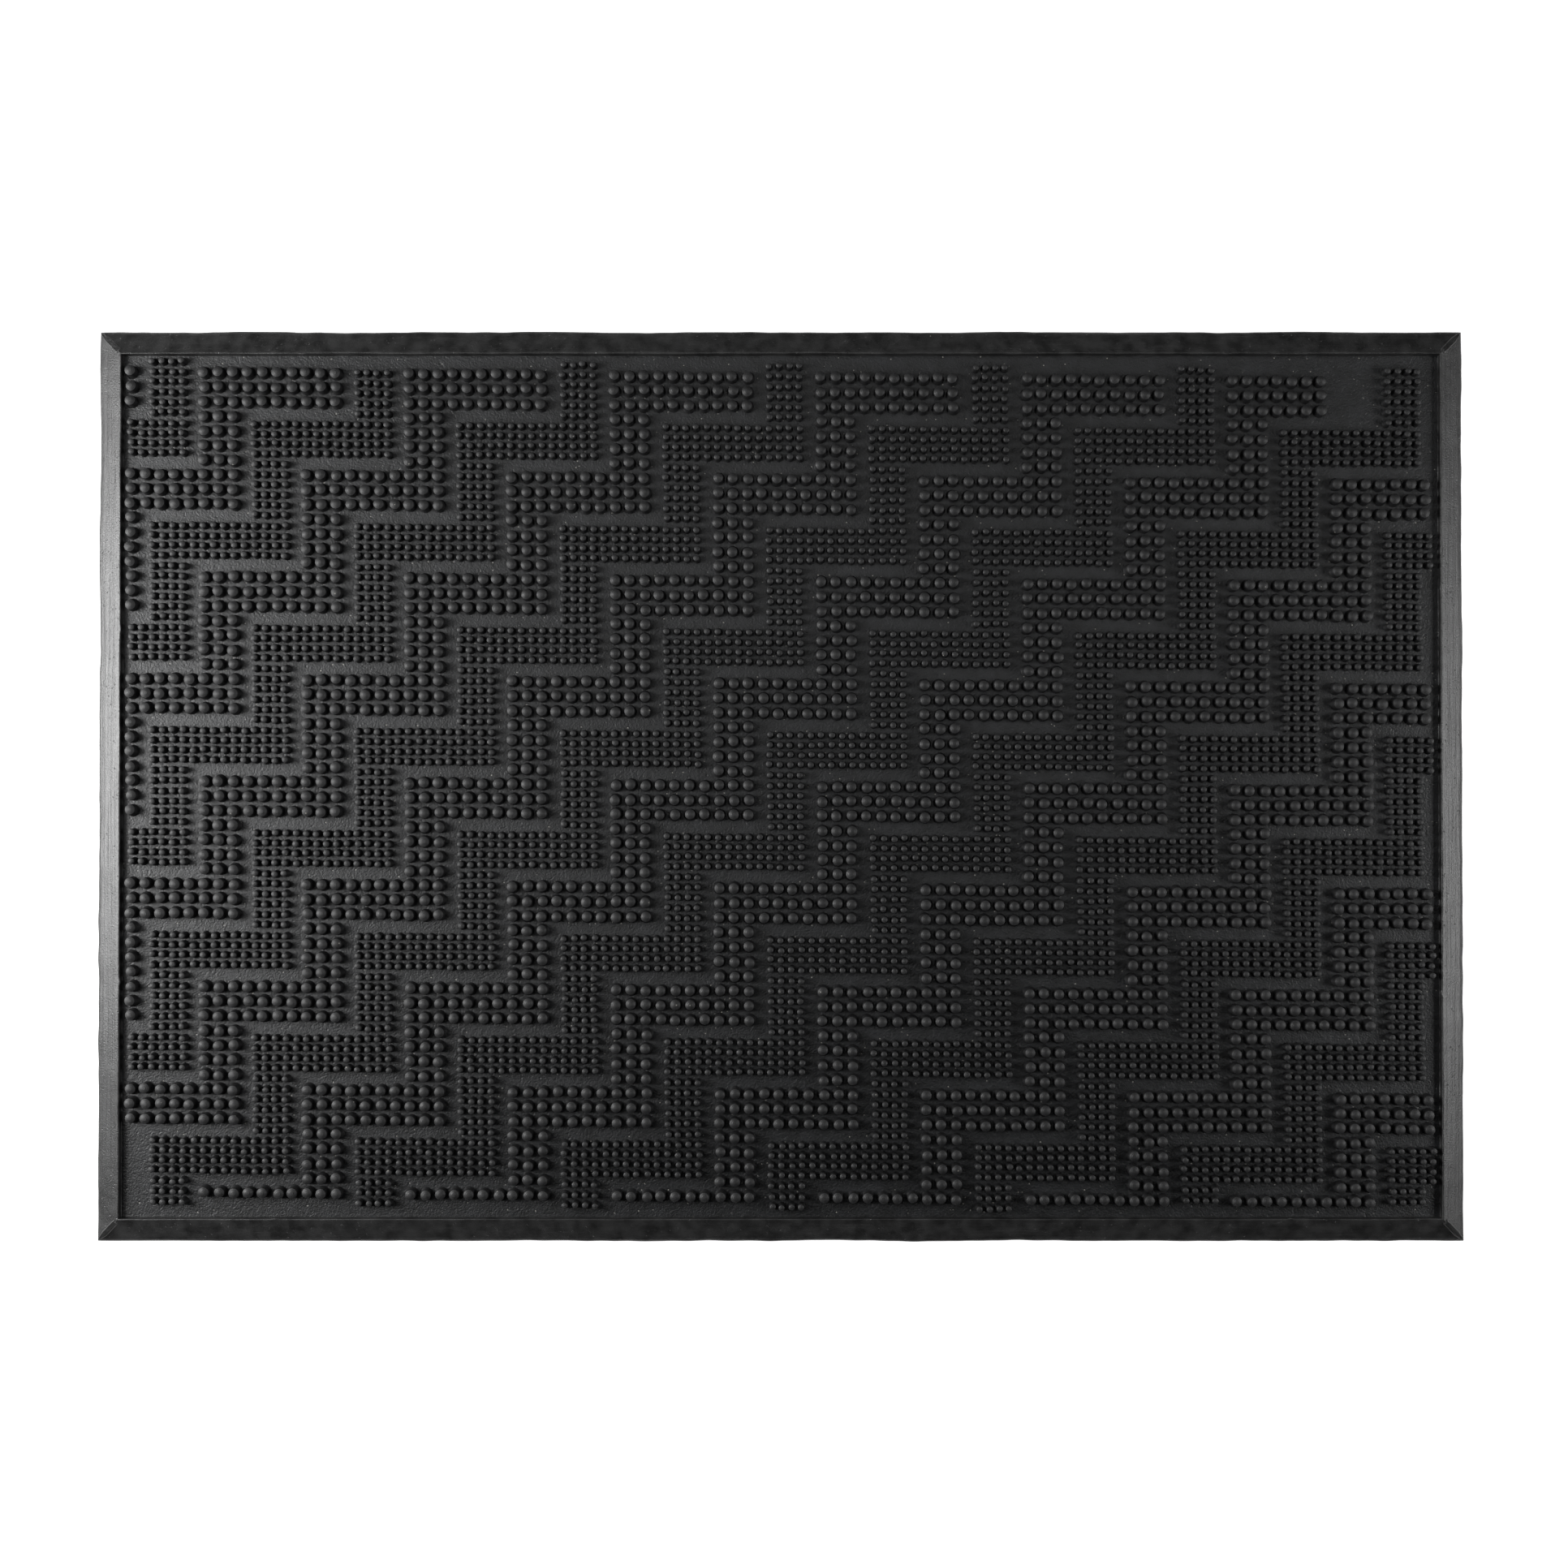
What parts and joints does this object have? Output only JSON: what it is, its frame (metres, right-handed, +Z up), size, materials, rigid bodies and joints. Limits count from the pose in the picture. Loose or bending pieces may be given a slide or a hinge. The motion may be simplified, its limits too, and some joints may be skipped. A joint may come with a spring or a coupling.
{
  "type": "door mat",
  "caption": "Rectangular black rubber scraper mat: a thin sheet with staircase bands of large and small pins inside a low ramped border.",
  "frame": {"origin": "middle of the flat underside, on the floor", "axes": "+X to the right along the long side, +Y to the back edge (the upper edge seen from above), +Z up"},
  "size_m": [0.6, 0.4, 0.008],
  "materials": {
    "sheet_rubber": "satin moulded black rubber with a fine grain, small pits and dust",
    "border_rubber": "satin extruded black rubber with faint lengthwise streaks",
    "pin_rubber": "satin moulded black rubber, slightly rubbed on the domed tips"
  },
  "bodies": {
    "root": {"base_sheet": "sheet_rubber", "border_front": "border_rubber", "border_back": "border_rubber", "border_left": "border_rubber", "border_right": "border_rubber", "large_pins_01": "pin_rubber", "large_pins_02": "pin_rubber", "large_pins_03": "pin_rubber", "large_pins_04": "pin_rubber", "large_pins_05": "pin_rubber", "large_pins_06": "pin_rubber", "large_pins_07": "pin_rubber", "large_pins_08": "pin_rubber", "large_pins_09": "pin_rubber", "large_pins_10": "pin_rubber", "large_pins_11": "pin_rubber", "small_pins_01": "pin_rubber", "small_pins_02": "pin_rubber", "small_pins_03": "pin_rubber", "small_pins_04": "pin_rubber", "small_pins_05": "pin_rubber", "small_pins_06": "pin_rubber", "small_pins_07": "pin_rubber", "small_pins_08": "pin_rubber", "small_pins_09": "pin_rubber", "small_pins_10": "pin_rubber", "small_pins_11": "pin_rubber"}
  },
  "joints": []
}
